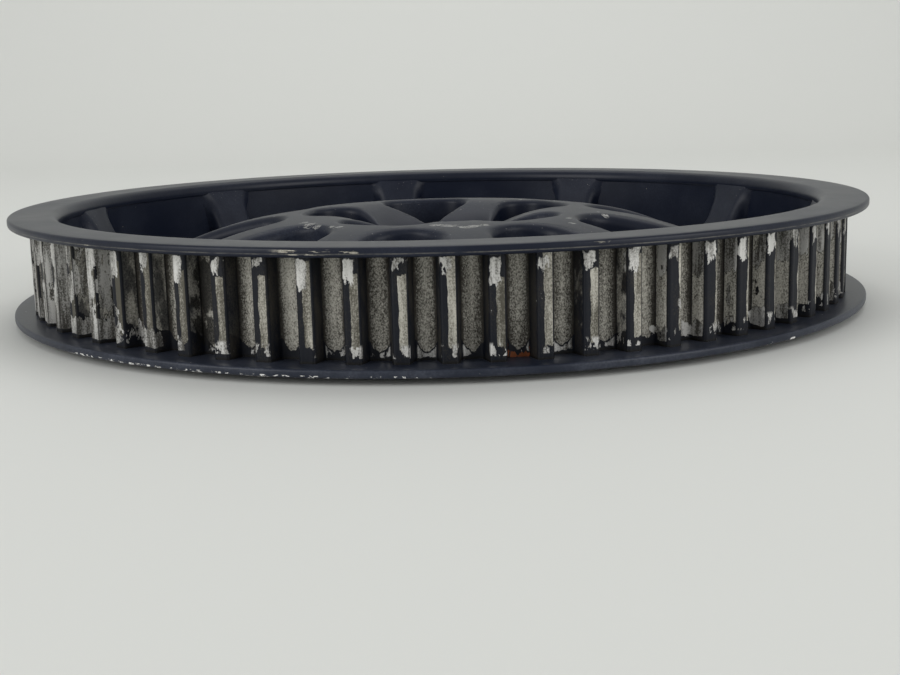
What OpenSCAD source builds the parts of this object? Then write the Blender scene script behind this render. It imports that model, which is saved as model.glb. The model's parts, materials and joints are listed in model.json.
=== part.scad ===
// Rear drive pulley for a toothed belt, with a domed ten-spoke web and a bolted hub.
// It lies on its hub face: the wheel side is down, and the axis is Z.

/* [Belt teeth] */
// Number of teeth round the rim
tooth_count = 70; // [60:1:72]
// Belt pitch along the pitch line
belt_pitch = 14; // [13.8:0.05:14]
// Distance from the tooth tips out to the belt's pitch line
pitch_line_offset = 1.4; // [1:0.1:1.6]
// Depth of a tooth groove
groove_depth = 6; // [4.5:0.1:6.2]
// Width of a groove's flat floor
groove_floor_w = 6.2; // [5:0.1:6.4]
// Width of a groove where its flanks reach the tips
groove_mouth_w = 9.2; // [8.4:0.1:9.6]
// Radius where a flank turns into the groove floor
groove_root_r = 1.2; // [0.6:0.1:1.4]
// Radius of a tooth's two tip edges
tooth_tip_r = 0.9; // [0.4:0.1:1.2]
// Width of the toothed face between the two flanges
face_w = 31.7; // [28:0.1:34]

/* [Rim and flanges] */
// How far both belt flanges stand out beyond the tooth tips
flange_h = 7.4; // [5:0.1:10]
// Thickness of the upper flange, which is cast with the rim
flange_t = 3; // [2.5:0.1:4]
// Radius of the upper flange's outer edges
flange_edge_r = 0.9; // [0.4:0.1:1.1]
// Thickness of the guard ring, which is the lower flange
guard_t = 2.5; // [2:0.1:3.5]
// Radius of the guard ring's outer edges
guard_edge_r = 0.7; // [0.3:0.1:0.9]
// Height of the guard ring's underside above the hub face
guard_lift = 2; // [1:0.1:3]
// Thickness of the rim between the groove floors and its inner wall
rim_wall = 4.5; // [4:0.1:6]
// Radius where the inner wall turns out into the upper flange
rim_lip_r = 3.5; // [2:0.1:4]
// Depth of the band that is let into the inner wall below that lip
band_depth = 0.8; // [0.4:0.1:1.5]
// How far the spigot that holds the guard ring stands out from the rim's inner wall
spigot_step = 2; // [1:0.1:3]
// Thickness of that spigot
spigot_wall = 4; // [3:0.1:6]
// Radial clearance between the spigot and the guard ring's bore
guard_clearance = 0.1; // [0.05:0.05:0.3]

/* [Dome and spokes] */
// Number of arms in the hub, which is half the number of spokes
arm_count = 5; // [5:1:6]
// Radius of the circle along the top of the crest
crest_r = 47; // [45:0.5:49]
// Height of the crest above the hub face
crest_z = 33.7; // [32:0.1:34.5]
// Radius of the arc that a spoke follows down from the crest
dome_arc_r = 145; // [135:1:160]
// Radius of the valley in which a spoke turns up to the rim
valley_arc_r = 15; // [12:0.5:17]
// Angle from level at which a spoke's end leans up against the rim's inner wall
riser_deg = 63; // [60:0.5:67]
// Width of a spoke
spoke_w = 19; // [15:0.5:20]
// Thickness of a spoke
spoke_t = 9; // [7:0.5:10]
// Distance from the axis to the rounded inner end of a window
window_in_r = 60.5; // [60:0.5:66]

/* [Hub] */
// Bore for the axle
bore_d = 30; // [25:0.5:34]
// Wall of the boss round the bore
boss_wall = 6; // [5:0.5:6.5]
// Height of the boss above the hub face
boss_z = 26; // [22:0.5:28]
// Diameter of the circle through the hub bolts
bolt_circle_d = 82.5; // [80:0.5:86]
// Diameter of a bolt hole
bolt_hole_d = 11.5; // [8:0.5:13]
// Thickness of the hub under the bolt heads
hub_floor_t = 12; // [8:0.5:16]
// Radius of the circle that the bolt pockets reach
pocket_out_r = 53; // [51:0.5:55]
// Distance from the axis to the inner end of a bolt pocket
pocket_in_r = 24; // [22:0.5:26]
// Radius of a pocket's two outer corners
pocket_corner_r = 10; // [8:0.5:10.5]
// Radius of a pocket's inner end
pocket_end_r = 5; // [3:0.5:6]
// Width of an arm between the outer corners of two pockets
arm_w = 18; // [16:0.5:20]
// Radius of the arc that an arm follows from the crest down to the boss
arm_arc_r = 40; // [38:1:50]
// Outside diameter of the hub drum, below the crest
hub_d = 119; // [117:0.5:120]
// Chamfer at both ends of the bore and round the hub face
hub_chamfer = 1; // [0.5:0.1:1.5]
// Direction of the first bolt, measured from the X axis
first_bolt_deg = 98; // [0:1:180]
// Direction of the first tooth, measured from the X axis
first_tooth_deg = 3.37; // [0:0.01:5.1]

/* [Hidden] */
// Overrun of a cut past a face, and depth by which one solid runs into the next
cut = 1;
weld = 1.5;
tooth_pitch_deg = 360 / tooth_count;
tip_r = tooth_count * belt_pitch / (2 * PI) - pitch_line_offset;
root_r = tip_r - groove_depth;
wall_r = root_r - rim_wall;
flange_r = tip_r + flange_h;
teeth_z = guard_lift + guard_t;
flange_z = teeth_z + face_w;
top_z = flange_z + flange_t;
// The band starts 1 mm below the lip, and a spoke's end meets the wall halfway between the two
band_top_z = top_z - rim_lip_r - 1;
riser_top_z = (band_top_z + top_z - rim_lip_r) / 2;
spigot_r = wall_r + spigot_step;
spigot_in_r = spigot_r - spigot_wall;
band_low_z = teeth_z + weld + wall_r - spigot_in_r;
guard_bore_r = spigot_r + guard_clearance;
spoke_count = 2 * arm_count;
spoke_deg = 360 / spoke_count;
arm_deg = 360 / arm_count;
hub_r = hub_d / 2;
boss_r = bore_d / 2 + boss_wall;
// Centres of the arcs that the crest and the dome follow
arm_z = crest_z - arm_arc_r;
dome_z = crest_z - dome_arc_r;
// The valley's arc touches the dome's arc and the leaning end: its centre slides along the lean
riser_dir = [cos(riser_deg), sin(riser_deg)];
riser_side = [sin(riser_deg), -cos(riser_deg)];
slide_from = [wall_r, riser_top_z] - valley_arc_r * riser_side - [crest_r, dome_z];
slide_b = slide_from * riser_dir;
slide_c = slide_from * slide_from - pow(dome_arc_r + valley_arc_r, 2);
valley_from_dome = slide_from + (sqrt(slide_b * slide_b - slide_c) - slide_b) * riser_dir;
meet_deg = atan2(valley_from_dome.y, valley_from_dome.x);
// A window is a wedge between two spokes; its point would lie at window_tip_r
window_tip_r = spoke_w / 2 / sin(spoke_deg / 2);
window_end_r = (window_in_r - window_tip_r) * sin(spoke_deg / 2) / (1 - sin(spoke_deg / 2));
// Centre of a pocket's outer corner, as a radius and an angle from the pocket's middle
corner_out = pocket_out_r - pocket_corner_r;
corner_deg = arm_deg / 2 - asin((pocket_corner_r + arm_w / 2) / corner_out);
big = 200;
$fn = 180;

// Points along an arc in the plane
function arc(centre, r, from, to, steps) =
    [for (i = [0:steps]) centre + r * [cos(from + (to - from) * i / steps), sin(from + (to - from) * i / steps)]];

// Half of a groove's outline, on the side where y is positive, from its floor out past the tips
function half_groove() =
    let (
        flank_deg = atan2((groove_mouth_w - groove_floor_w) / 2, groove_depth),
        floor_y = groove_floor_w / 2,
        mouth_y = groove_mouth_w / 2,
        root_in = groove_root_r * tan((90 - flank_deg) / 2),
        tip_out = tooth_tip_r * tan((90 - flank_deg) / 2),
        root_centre = [root_r + groove_root_r, floor_y - root_in],
        tip_centre = [tip_r - tooth_tip_r, mouth_y + tip_out]
    )
    concat(
        arc(root_centre, groove_root_r, 180, 90 + flank_deg, 3),
        arc(tip_centre, tooth_tip_r, 270 + flank_deg, 360, 3),
        [[tip_r + cut, mouth_y + tip_out]]
    );

// Outline of the tool that cuts one groove
module groove_outline() {
    half = half_groove();
    other = [for (i = [len(half) - 1:-1:0]) [half[i].x, -half[i].y]];
    polygon(concat(half, other));
}

// Teeth between the two flanges, with a hidden foot that runs into the rim and the upper flange
module tooth_ring() {
    translate([0, 0, teeth_z])
        linear_extrude(face_w + flange_t / 2)
            difference() {
                circle(tip_r);
                circle(root_r - 2 * weld);
                for (i = [0:tooth_count - 1])
                    rotate(first_tooth_deg + (i + 0.5) * tooth_pitch_deg)
                        groove_outline();
            }
}

// Rim under the teeth, with the spigot below it and the upper flange above
module rim() {
    rotate_extrude()
        difference() {
            union() {
                translate([spigot_in_r, guard_lift])
                    square([spigot_wall, teeth_z - guard_lift + weld]);
                polygon([
                    [spigot_in_r, teeth_z + weld],
                    [spigot_r, teeth_z],
                    [root_r - weld, teeth_z],
                    [root_r - weld, flange_z + weld],
                    [wall_r, flange_z + weld],
                    [wall_r, band_top_z],
                    [wall_r + band_depth, band_top_z - band_depth],
                    [wall_r + band_depth, band_low_z + band_depth],
                    [wall_r, band_low_z]
                ]);
                translate([wall_r, flange_z])
                    square([flange_r - wall_r, flange_t]);
            }
            translate([flange_r - flange_edge_r, top_z - flange_edge_r])
                edge_cutter(flange_edge_r, 1, 1);
            translate([flange_r - flange_edge_r, flange_z + flange_edge_r])
                edge_cutter(flange_edge_r, 1, -1);
            translate([wall_r + rim_lip_r, top_z - rim_lip_r])
                edge_cutter(rim_lip_r, -1, 1);
        }
}

// Corner outside a quarter circle, to round the edge that lies towards (sx, sy)
module edge_cutter(r, sx, sy) {
    difference() {
        translate([sx > 0 ? 0 : -r - cut, sy > 0 ? 0 : -r - cut])
            square(r + cut);
        circle(r, $fn = 64);
    }
}

// Outline of the dish from the axis outwards: over the boss, the crest and the spokes, and back below
function dish_outline() =
    let (
        crest = [crest_r, crest_z],
        arm_centre = [crest_r, arm_z],
        dome_centre = [crest_r, dome_z],
        valley_centre = dome_centre + valley_from_dome,
        boss_deg = acos((boss_r - crest_r) / arm_arc_r),
        under_r = dome_arc_r - spoke_t,
        hub_under_deg = acos((hub_r - crest_r) / under_r),
        riser_end_z = riser_top_z + weld / 2 * tan(riser_deg),
        valley_end_deg = 360 - acos(min(1, (wall_r + weld - valley_centre.x) / (valley_arc_r + spoke_t)))
    )
    concat(
        [[0, 0], [0, boss_z], [boss_r, boss_z]],
        arc(arm_centre, arm_arc_r, boss_deg, 90, 8),
        arc(dome_centre, dome_arc_r, 88, meet_deg, 8),
        arc(valley_centre, valley_arc_r, 188 + meet_deg, 270 + riser_deg, 7),
        [[wall_r + weld / 2, riser_end_z], [wall_r + weld, riser_end_z]],
        arc(valley_centre, valley_arc_r + spoke_t, valley_end_deg, 180 + meet_deg, 8),
        arc(dome_centre, under_r, meet_deg + 4, hub_under_deg, 7),
        [[hub_r, hub_chamfer], [hub_r - hub_chamfer, 0]]
    );

// Outline of a window between two spokes, centred on the X axis and open at the rim
module window_outline() {
    half = spoke_deg / 2;
    end_x = window_in_r + window_end_r;
    far_y = (big - window_tip_r) * tan(half);
    polygon(concat(
        arc([end_x, 0], window_end_r, 90 + half, 270 - half, 8),
        [[big, -far_y], [big, far_y]]
    ));
}

// Outline of a bolt pocket, centred on the X axis: narrow at the boss, wide at the crest
module pocket_outline() {
    small = [pocket_in_r + pocket_end_r, 0];
    wide = corner_out * [cos(corner_deg), sin(corner_deg)];
    span = wide - small;
    side_deg = atan2(span.y, span.x) + 90 - asin((pocket_end_r - pocket_corner_r) / norm(span));
    upper = concat(
        arc(small, pocket_end_r, 180, side_deg, 5),
        arc(wide, pocket_corner_r, side_deg, corner_deg, 8),
        arc([0, 0], pocket_out_r, corner_deg * 0.8, 0, 4)
    );
    lower = [for (i = [len(upper) - 2:-1:1]) [upper[i].x, -upper[i].y]];
    polygon(concat(upper, lower));
}

// Dish of hub, crest and spokes, before the bore and the bolt holes
module dish() {
    difference() {
        rotate_extrude()
            polygon(dish_outline());
        for (i = [0:spoke_count - 1])
            rotate(first_bolt_deg + (i + 0.5) * spoke_deg)
                translate([0, 0, -cut])
                    linear_extrude(top_z + 2 * cut)
                        window_outline();
        for (i = [0:arm_count - 1])
            rotate(first_bolt_deg + i * arm_deg)
                translate([0, 0, hub_floor_t])
                    linear_extrude(top_z)
                        pocket_outline();
    }
}

// Bore and bolt holes, cut right through the hub
module hub_holes() {
    translate([0, 0, -cut])
        cylinder(d = bore_d, h = boss_z + 2 * cut);
    translate([0, 0, -cut])
        cylinder(r1 = bore_d / 2 + hub_chamfer + cut, r2 = bore_d / 2, h = hub_chamfer + cut);
    translate([0, 0, boss_z - hub_chamfer])
        cylinder(r1 = bore_d / 2, r2 = bore_d / 2 + hub_chamfer + cut, h = hub_chamfer + cut);
    for (i = [0:arm_count - 1])
        rotate(first_bolt_deg + i * arm_deg)
            translate([bolt_circle_d / 2, 0, -cut])
                cylinder(d = bolt_hole_d, h = hub_floor_t + 2 * cut);
}

// The whole pulley apart from its guard ring, as one casting
module pulley_casting() {
    color([0.13, 0.13, 0.15])
        difference() {
            union() {
                rim();
                tooth_ring();
                dish();
            }
            hub_holes();
        }
}

// Lower belt flange: a flat ring pushed over the spigot against the ends of the teeth
module guard_ring() {
    color([0.16, 0.16, 0.18])
        rotate_extrude()
            difference() {
                translate([guard_bore_r, guard_lift])
                    square([flange_r - guard_bore_r, guard_t]);
                translate([flange_r - guard_edge_r, teeth_z - guard_edge_r])
                    edge_cutter(guard_edge_r, 1, 1);
                translate([flange_r - guard_edge_r, guard_lift + guard_edge_r])
                    edge_cutter(guard_edge_r, 1, -1);
            }
}

pulley_casting();
guard_ring();
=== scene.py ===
"""Looks of the rear drive pulley: rounded casting, worn belt teeth, chipped guard ring."""

import json
import logging
import math
from collections.abc import Callable
from dataclasses import dataclass, field
from enum import Enum

import bmesh
import bpy
import numpy as np
from mathutils import Matrix, Vector
from mathutils.geometry import delaunay_2d_cdt
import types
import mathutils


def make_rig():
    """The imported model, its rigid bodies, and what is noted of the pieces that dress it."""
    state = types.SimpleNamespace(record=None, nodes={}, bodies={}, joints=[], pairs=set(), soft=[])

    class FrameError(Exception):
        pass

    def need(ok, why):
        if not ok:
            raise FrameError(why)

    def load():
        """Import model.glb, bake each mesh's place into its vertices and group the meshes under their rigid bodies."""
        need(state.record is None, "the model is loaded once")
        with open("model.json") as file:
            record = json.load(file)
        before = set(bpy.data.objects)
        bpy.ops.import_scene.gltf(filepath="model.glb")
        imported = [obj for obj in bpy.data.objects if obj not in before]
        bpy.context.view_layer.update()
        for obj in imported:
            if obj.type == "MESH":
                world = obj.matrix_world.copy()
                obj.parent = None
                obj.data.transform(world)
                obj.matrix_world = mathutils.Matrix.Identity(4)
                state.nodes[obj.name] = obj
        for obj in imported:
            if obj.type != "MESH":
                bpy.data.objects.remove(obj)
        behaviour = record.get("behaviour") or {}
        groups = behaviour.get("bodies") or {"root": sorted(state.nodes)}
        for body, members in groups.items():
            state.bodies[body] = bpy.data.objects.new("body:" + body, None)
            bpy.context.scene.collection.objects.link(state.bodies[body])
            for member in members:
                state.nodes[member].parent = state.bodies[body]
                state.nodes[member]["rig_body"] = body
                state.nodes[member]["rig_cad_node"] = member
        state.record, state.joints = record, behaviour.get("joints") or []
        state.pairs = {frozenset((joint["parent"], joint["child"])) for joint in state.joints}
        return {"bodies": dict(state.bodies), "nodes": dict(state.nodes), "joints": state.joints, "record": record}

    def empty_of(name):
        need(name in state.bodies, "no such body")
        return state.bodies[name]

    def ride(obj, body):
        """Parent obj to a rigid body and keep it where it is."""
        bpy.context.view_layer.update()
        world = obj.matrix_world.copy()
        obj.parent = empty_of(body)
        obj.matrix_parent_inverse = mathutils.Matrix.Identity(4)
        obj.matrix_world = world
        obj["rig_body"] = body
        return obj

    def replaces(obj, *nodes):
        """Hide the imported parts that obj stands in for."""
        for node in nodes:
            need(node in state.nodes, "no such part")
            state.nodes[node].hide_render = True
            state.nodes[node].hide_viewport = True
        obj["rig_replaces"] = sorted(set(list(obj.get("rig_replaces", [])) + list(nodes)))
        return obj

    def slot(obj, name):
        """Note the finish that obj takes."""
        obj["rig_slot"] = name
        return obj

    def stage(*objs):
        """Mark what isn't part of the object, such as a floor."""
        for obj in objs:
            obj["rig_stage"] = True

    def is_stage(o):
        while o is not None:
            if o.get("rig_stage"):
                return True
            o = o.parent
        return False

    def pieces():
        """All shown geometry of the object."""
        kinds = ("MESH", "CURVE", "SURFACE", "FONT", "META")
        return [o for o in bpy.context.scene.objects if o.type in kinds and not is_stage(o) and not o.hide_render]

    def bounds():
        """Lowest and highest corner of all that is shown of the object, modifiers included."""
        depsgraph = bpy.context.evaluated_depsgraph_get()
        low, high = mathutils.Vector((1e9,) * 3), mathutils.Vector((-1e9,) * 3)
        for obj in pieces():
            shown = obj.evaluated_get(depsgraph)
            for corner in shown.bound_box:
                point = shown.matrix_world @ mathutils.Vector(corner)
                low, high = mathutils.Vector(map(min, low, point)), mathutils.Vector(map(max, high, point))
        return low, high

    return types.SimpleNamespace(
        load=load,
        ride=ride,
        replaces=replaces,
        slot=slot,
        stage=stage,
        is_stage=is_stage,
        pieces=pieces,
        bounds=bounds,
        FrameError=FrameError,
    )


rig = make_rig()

log = logging.getLogger("pulley")

MM = 0.001
SIZE_FILE = "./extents.json"
# Points nearer than this become one: in plan in millimetres, and in the finished mesh in metres
SAME_POINT = 1e-5
WELD = 2e-6
SLIVER = 1e-7
# Rows of points down a spoke's side, as shares of its height
SIDE_SHARES = (0.15, 0.35, 0.55, 0.75, 0.9)


class Finish(Enum):
    """The finishes of the casting, in the order of its material slots."""

    FLANGE = 0
    WEB = 1
    TEETH = 2


def linear(hex_colour: str) -> tuple[float, float, float, float]:
    """Turn an sRGB hex colour into linear values.

    Args:
        hex_colour: six hex digits with a leading hash.

    Returns:
        Red, green, blue and alpha as a shader socket takes them.
    """
    parts = [int(hex_colour[i : i + 2], 16) / 255 for i in (1, 3, 5)]
    rgb = [p / 12.92 if p <= 0.04045 else ((p + 0.055) / 1.055) ** 2.4 for p in parts]
    return rgb[0], rgb[1], rgb[2], 1.0


@dataclass
class Pile:
    """Vertices and faces of one piece while it is put together, in millimetres."""

    name: str
    points: list = field(default_factory=list)
    faces: list = field(default_factory=list)
    slots: list = field(default_factory=list)

    def grid(self, rows: list, slot: int, closed: bool = False, flip: bool = False) -> None:
        """Join rows of points by quads.

        Args:
            rows: rows of points, all of one length.
            slot: material slot of the faces.
            closed: whether each row's last point joins its first.
            flip: whether the faces turn the other way.
        """
        base, wide = len(self.points), len(rows[0])
        for row in rows:
            self.points.extend(map(tuple, row))
        for i in range(len(rows) - 1):
            for j in range(wide if closed else wide - 1):
                k = (j + 1) % wide
                here, above = base + i * wide, base + (i + 1) * wide
                quad = [here + j, here + k, above + k, above + j]
                self.faces.append(quad[::-1] if flip else quad)
                self.slots.append(slot)

    def lathe(self, path: list, slot: int, turns: int = 360) -> None:
        """Turn a path about the axis, with the metal on its left.

        Args:
            path: radius and height of each point.
            slot: material slot of the faces.
            turns: number of steps round the axis.
        """
        rows = [[(r * c, r * t, z) for r, z in path] for c, t in ring(1.0, turns)]
        rows.append(rows[0])
        self.grid(rows, slot, flip=True)

    def flat(
        self,
        loops: list,
        holes: list,
        inner: list,
        height: Callable[[np.ndarray], np.ndarray] | float,
        slot: int,
        down: bool = False,
    ) -> None:
        """Fill the area inside loops and outside holes with triangles.

        Args:
            loops: closed outlines in plan, filled inside.
            holes: closed outlines in plan that stay open.
            inner: extra points in plan that the surface passes through.
            height: function from plan points to their height, or one height for all.
            slot: material slot of the faces.
            down: whether the faces look down.
        """
        plan, edges = [], []
        for outline in loops + holes:
            start, count = len(plan), len(outline)
            plan.extend(Vector((float(p[0]), float(p[1]))) for p in outline)
            edges.extend((start + i, start + (i + 1) % count) for i in range(count))
        plan.extend(Vector((float(p[0]), float(p[1]))) for p in inner)
        found = delaunay_2d_cdt(plan, edges, [], 0, SAME_POINT)
        where = np.array([tuple(v) for v in found[0]])
        triangles = np.array([list(f) for f in found[2]])
        middle = where[triangles].mean(axis=1)
        keep = np.zeros(len(triangles), bool)
        for outline in loops:
            keep |= inside(np.array(outline), middle)
        for outline in holes:
            keep &= ~inside(np.array(outline), middle)
        base = len(self.points)
        tall = height(where) if callable(height) else np.full(len(where), height)
        self.points.extend((x, y, z) for (x, y), z in zip(where, tall))
        for triangle in triangles[keep]:
            face = [base + int(i) for i in triangle]
            self.faces.append(face[::-1] if down else face)
            self.slots.append(slot)

    def build(self, materials: list, sharp_deg: float = 32.0) -> bpy.types.Object:
        """Make the Blender object, welded and shaded smooth up to an angle.

        Args:
            materials: materials in slot order.
            sharp_deg: angle above which an edge stays sharp.

        Returns:
            The new object, linked to the scene.
        """
        mesh = bpy.data.meshes.new(self.name)
        mesh.from_pydata([(x * MM, y * MM, z * MM) for x, y, z in self.points], [], self.faces)
        for material in materials:
            mesh.materials.append(material)
        mesh.polygons.foreach_set("material_index", self.slots)
        mesh.polygons.foreach_set("use_smooth", [True] * len(self.faces))
        work = bmesh.new()
        work.from_mesh(mesh)
        bmesh.ops.remove_doubles(work, verts=work.verts, dist=WELD)
        bmesh.ops.dissolve_degenerate(work, edges=work.edges, dist=SLIVER)
        work.to_mesh(mesh)
        work.free()
        mesh.set_sharp_from_angle(angle=math.radians(sharp_deg))
        thing = bpy.data.objects.new(self.name, mesh)
        bpy.context.scene.collection.objects.link(thing)
        return thing


def inside(outline: np.ndarray, points: np.ndarray) -> np.ndarray:
    """Tell which points lie inside a closed outline.

    Args:
        outline: corners of the outline.
        points: points in plan.

    Returns:
        One truth value for each point.
    """
    hit = np.zeros(len(points), bool)
    x, y = points[:, 0], points[:, 1]
    for (x0, y0), (x1, y1) in zip(outline, np.roll(outline, -1, axis=0)):
        crosses = (y0 > y) != (y1 > y)
        if y1 != y0:
            hit ^= crosses & (x < (x1 - x0) * (y - y0) / (y1 - y0) + x0)
    return hit


def turned(points: np.ndarray, degrees: float) -> np.ndarray:
    """Turn plan or space points about the axis.

    Args:
        points: rows of x and y, or x, y and z.
        degrees: angle, anticlockwise seen from above.

    Returns:
        The turned rows.
    """
    c, s = math.cos(math.radians(degrees)), math.sin(math.radians(degrees))
    out = np.array(points, float)
    out[:, 0], out[:, 1] = points[:, 0] * c - points[:, 1] * s, points[:, 0] * s + points[:, 1] * c
    return out


def ring(radius: float, count: int, centre: tuple[float, float] = (0.0, 0.0)) -> np.ndarray:
    """Points round a circle in plan, anticlockwise.

    Args:
        radius: radius of the circle.
        count: number of points.
        centre: centre of the circle.

    Returns:
        Rows of x and y, the first on the side of +X.
    """
    angle = np.arange(count) * 2 * np.pi / count
    return np.stack([centre[0] + radius * np.cos(angle), centre[1] + radius * np.sin(angle)], axis=1)


def arc(centre: tuple[float, float], radius: float, start: float, end: float, steps: int) -> list:
    """Points along an arc, both ends included.

    Args:
        centre: centre of the arc.
        radius: radius of the arc.
        start: angle of its first point, in degrees.
        end: angle of its last point, in degrees.
        steps: number of steps between them.

    Returns:
        List of points.
    """
    angles = np.radians(np.linspace(start, end, steps + 1))
    return [(centre[0] + radius * math.cos(a), centre[1] + radius * math.sin(a)) for a in angles]


def hoops(path: list, count: int, centre: tuple[float, float] = (0.0, 0.0)) -> list:
    """Rings of points, one for each step of a path.

    Args:
        path: radius and height of each ring.
        count: number of points in a ring.
        centre: centre of the rings in plan.

    Returns:
        List of rings, each with its rows of x, y and z.
    """
    return [np.column_stack([ring(r, count, centre), np.full(count, z)]) for r, z in path]


@dataclass(frozen=True)
class Sizes:
    """Sizes that several pieces share, in millimetres, as in the CAD source."""

    teeth: int = 70
    belt_pitch: float = 14.0
    pitch_line_offset: float = 1.4
    first_tooth_deg: float = 3.37
    groove_depth: float = 6.0
    groove_floor_w: float = 6.2
    groove_mouth_w: float = 9.2
    groove_root_r: float = 1.2
    tooth_tip_r: float = 0.9
    flange_h: float = 7.4
    flange_t: float = 3.0
    rim_wall: float = 4.5
    spigot_step: float = 2.0
    spigot_wall: float = 4.0
    panel_depth: float = 0.8
    lip_r: float = 3.5
    guard_lift: float = 2.0
    guard_t: float = 2.5
    guard_clearance: float = 0.1
    face_w: float = 31.7
    first_bolt_deg: float = 98.0
    riser_drop: float = 0.5

    @property
    def tip_r(self) -> float:
        """Radius over the teeth."""
        return self.teeth * self.belt_pitch / (2 * math.pi) - self.pitch_line_offset

    @property
    def flange_r(self) -> float:
        """Radius of both flanges."""
        return self.tip_r + self.flange_h

    @property
    def root_r(self) -> float:
        """Radius of the groove floors."""
        return self.tip_r - self.groove_depth

    @property
    def wall_r(self) -> float:
        """Radius of the rim's inner wall."""
        return self.root_r - self.rim_wall

    @property
    def spigot_r(self) -> float:
        """Outer radius of the spigot that the guard ring sits on."""
        return self.wall_r + self.spigot_step

    @property
    def teeth_z(self) -> float:
        """Height of the teeth's lower ends."""
        return self.guard_lift + self.guard_t

    @property
    def flange_z(self) -> float:
        """Height of the upper flange's underside."""
        return self.teeth_z + self.face_w

    @property
    def top_z(self) -> float:
        """Height of the upper flange's top."""
        return self.flange_z + self.flange_t

    @property
    def riser_top_z(self) -> float:
        """Height at which the leaning end of a spoke meets the inner wall."""
        return self.top_z - self.lip_r - self.riser_drop


@dataclass
class ToothedRim:
    """Rim of the casting: belt teeth, upper flange, inner wall and spigot."""

    sizes: Sizes
    edge_r: float = 0.9
    fillet_r: float = 1.0
    bevel: float = 0.3
    # How far from the flange's edge its underside changes to the flange's own finish
    underside_margin: float = 3.0
    # Radii of the rings of points on the flange's top, and heights of those on the inner wall
    top_rings: tuple = (158.0, 154.5, 151.0, 149.0)
    wall_rings: tuple = (28.0, 20.0, 12.0)

    def tooth_outline(self) -> np.ndarray:
        """Outline of the whole ring of teeth in plan.

        Returns:
            Points anticlockwise, from the first groove's middle.
        """
        s = self.sizes
        flank = math.degrees(math.atan2((s.groove_mouth_w - s.groove_floor_w) / 2, s.groove_depth))
        root_in = s.groove_root_r * math.tan(math.radians((90 - flank) / 2))
        tip_out = s.tooth_tip_r * math.tan(math.radians((90 - flank) / 2))
        # From the middle of a groove's floor, with one point on the way, to the middle of a tooth
        half = [(s.root_r, 0.0), (s.root_r, 1.3)]
        root_centre = (s.root_r + s.groove_root_r, s.groove_floor_w / 2 - root_in)
        half += arc(root_centre, s.groove_root_r, 180, 90 + flank, 4)
        x0, y0 = half[-1]
        tip_centre = (s.tip_r - s.tooth_tip_r, s.groove_mouth_w / 2 + tip_out)
        tip = arc(tip_centre, s.tooth_tip_r, 270 + flank, 360, 5)
        half += [(x0 + (tip[0][0] - x0) * k / 3, y0 + (tip[0][1] - y0) * k / 3) for k in (1, 2)]
        half += tip
        pitch = 360 / s.teeth
        land_deg = math.degrees(math.atan2(half[-1][1], half[-1][0]))
        for k in (1, 2, 3):
            a = math.radians(land_deg + (pitch / 2 - land_deg) * k / 3)
            half.append((s.tip_r * math.cos(a), s.tip_r * math.sin(a)))
        upper = np.array(half)
        lower = upper[1:-1][::-1] * [1, -1]
        # One pitch runs from a groove's middle over a tooth to just before the next groove's middle
        one = np.vstack([upper, turned(lower, pitch)])
        first = s.first_tooth_deg - pitch / 2
        return np.vstack([turned(one, first + i * pitch) for i in range(s.teeth)])

    def add_teeth(self, pile: Pile) -> None:
        """Add the teeth, their closed lower ends and the flange's underside.

        Args:
            pile: casting that gets them.
        """
        s = self.sizes
        outline = self.tooth_outline()
        radius = np.hypot(outline[:, 0], outline[:, 1])

        def level(z: float, target: float = 0.0, share: float = 0.0, grow: float = 0.0) -> np.ndarray:
            """Outline at a height, moved by a share of the way to a circle, and grown outwards."""
            scale = (radius + (target - radius) * share + grow) / radius
            return np.column_stack([outline * scale[:, None], np.full(len(outline), z)])

        heights = [s.teeth_z + up for up in (0, 2, 8, 16)] + [s.flange_z - down for down in (6, 1.2)]
        rows = [level(s.teeth_z, s.spigot_r, 1.0)] + [level(z) for z in heights]
        # A small casting fillet carries the teeth into the flange
        for deg in (30, 60, 90):
            a, e = math.radians(deg), self.fillet_r
            rows.append(level(s.flange_z - e + e * math.sin(a), grow=e * (1 - math.cos(a))))
        change = level(s.flange_z, s.flange_r - self.underside_margin, 1.0)
        rows.append(change)
        pile.grid(rows, Finish.TEETH.value, closed=True)
        rows = [change, level(s.flange_z, s.flange_r - self.edge_r, 1.0)]
        pile.grid(rows, Finish.FLANGE.value, closed=True)

    def add_turned(self, pile: Pile) -> None:
        """Add what a lathe would turn: flange edge and top, lip, inner wall and spigot.

        Args:
            pile: casting that gets them.
        """
        s, e, b = self.sizes, self.edge_r, self.bevel
        path = arc((s.flange_r - e, s.flange_z + e), e, 270, 360, 4)
        path += arc((s.flange_r - e, s.top_z - e), e, 0, 90, 4)
        path += [(r, s.top_z) for r in self.top_rings]
        path += arc((s.wall_r + s.lip_r, s.top_z - s.lip_r), s.lip_r, 90, 180, 8)
        # Under the lip the wall slopes back to panels that lie a little deeper
        low, panel = s.top_z - s.lip_r, s.wall_r + s.panel_depth
        path += [(s.wall_r, low - 1.0), (s.wall_r + 0.15, low - 1.3), (panel, low - 1.8)]
        path += [(panel, z) for z in self.wall_rings]
        # At the foot it slopes in to the spigot that carries the guard ring
        inner, outer, foot = s.spigot_r - s.spigot_wall, s.spigot_r, s.guard_lift
        path += [(s.wall_r, s.teeth_z + 3.5), (inner, s.teeth_z + 1.5)]
        path += [(inner, foot + b), (inner + b, foot), (outer - b, foot), (outer, foot + b)]
        path.append((outer, s.teeth_z))
        pile.lathe(path, Finish.FLANGE.value)


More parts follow.
